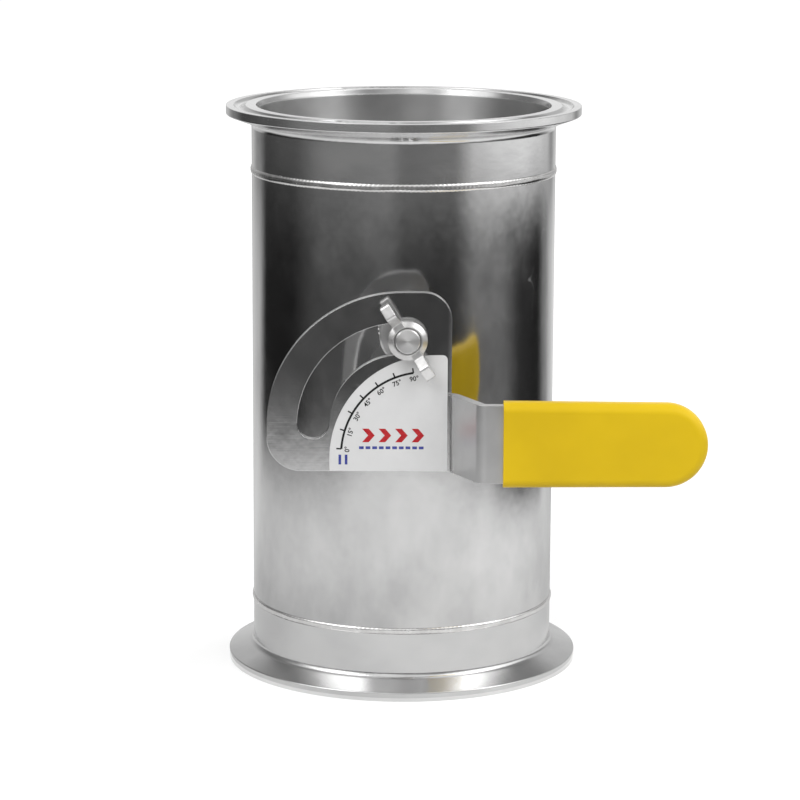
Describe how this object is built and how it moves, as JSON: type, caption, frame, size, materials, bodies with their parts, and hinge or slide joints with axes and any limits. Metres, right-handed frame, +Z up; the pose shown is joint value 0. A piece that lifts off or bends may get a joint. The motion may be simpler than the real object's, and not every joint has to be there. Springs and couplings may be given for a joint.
{
  "type": "duct damper",
  "caption": "Round steel duct damper with clamp ferrule ends, a blade on a cross shaft, and a slotted quadrant lever with a yellow grip, locked by a wing nut.",
  "frame": {"origin": "centre of the lower ferrule's sealing face", "axes": "+Z up along the duct, -Y towards the lever side, +X the way the lever points when the damper is shut"},
  "size_m": [0.1552, 0.1584, 0.19],
  "materials": {
    "polished_steel": "polished",
    "weld_steel": "as welded, brushed",
    "turned_steel": "turned",
    "sheet_steel": "satin sheet, bright cut edges",
    "cast_steel": "tumbled casting",
    "yellow_plastic": "soft satin",
    "label_film": "satin film",
    "bush_polymer": "machined",
    "seal_rubber": "matt"
  },
  "bodies": {
    "housing": {"body_tube": "polished_steel", "upper_ferrule": "polished_steel", "lower_ferrule": "polished_steel", "upper_weld_bead": "weld_steel", "lower_weld_bead": "weld_steel", "front_shaft_boss": "turned_steel", "rear_shaft_boss": "turned_steel", "front_bush": "bush_polymer", "rear_bush": "bush_polymer", "front_seal_ring": "seal_rubber", "rear_seal_ring": "seal_rubber", "rear_cap": "polished_steel", "stud_post": "turned_steel", "locking_stud": "turned_steel"},
    "damper": {"damper_shaft": "turned_steel", "damper_blade": "polished_steel", "blade_screws": "turned_steel", "quadrant_lever": "sheet_steel", "scale_label": "label_film", "lever_grip": "yellow_plastic"},
    "lock": {"wing_nut": "cast_steel"}
  },
  "joints": [
    {"name": "damper_turn", "type": "hinge", "parent": "housing", "child": "damper", "pos_m": [0, 0, 0.095], "axis": [0, 1, 0], "range_deg": [0, 90]},
    {"name": "wing_nut_turn", "type": "hinge", "parent": "housing", "child": "lock", "pos_m": [0.0015, -0.0752, 0.12356], "axis": [0, 1, 0], "continuous": true}
  ]
}
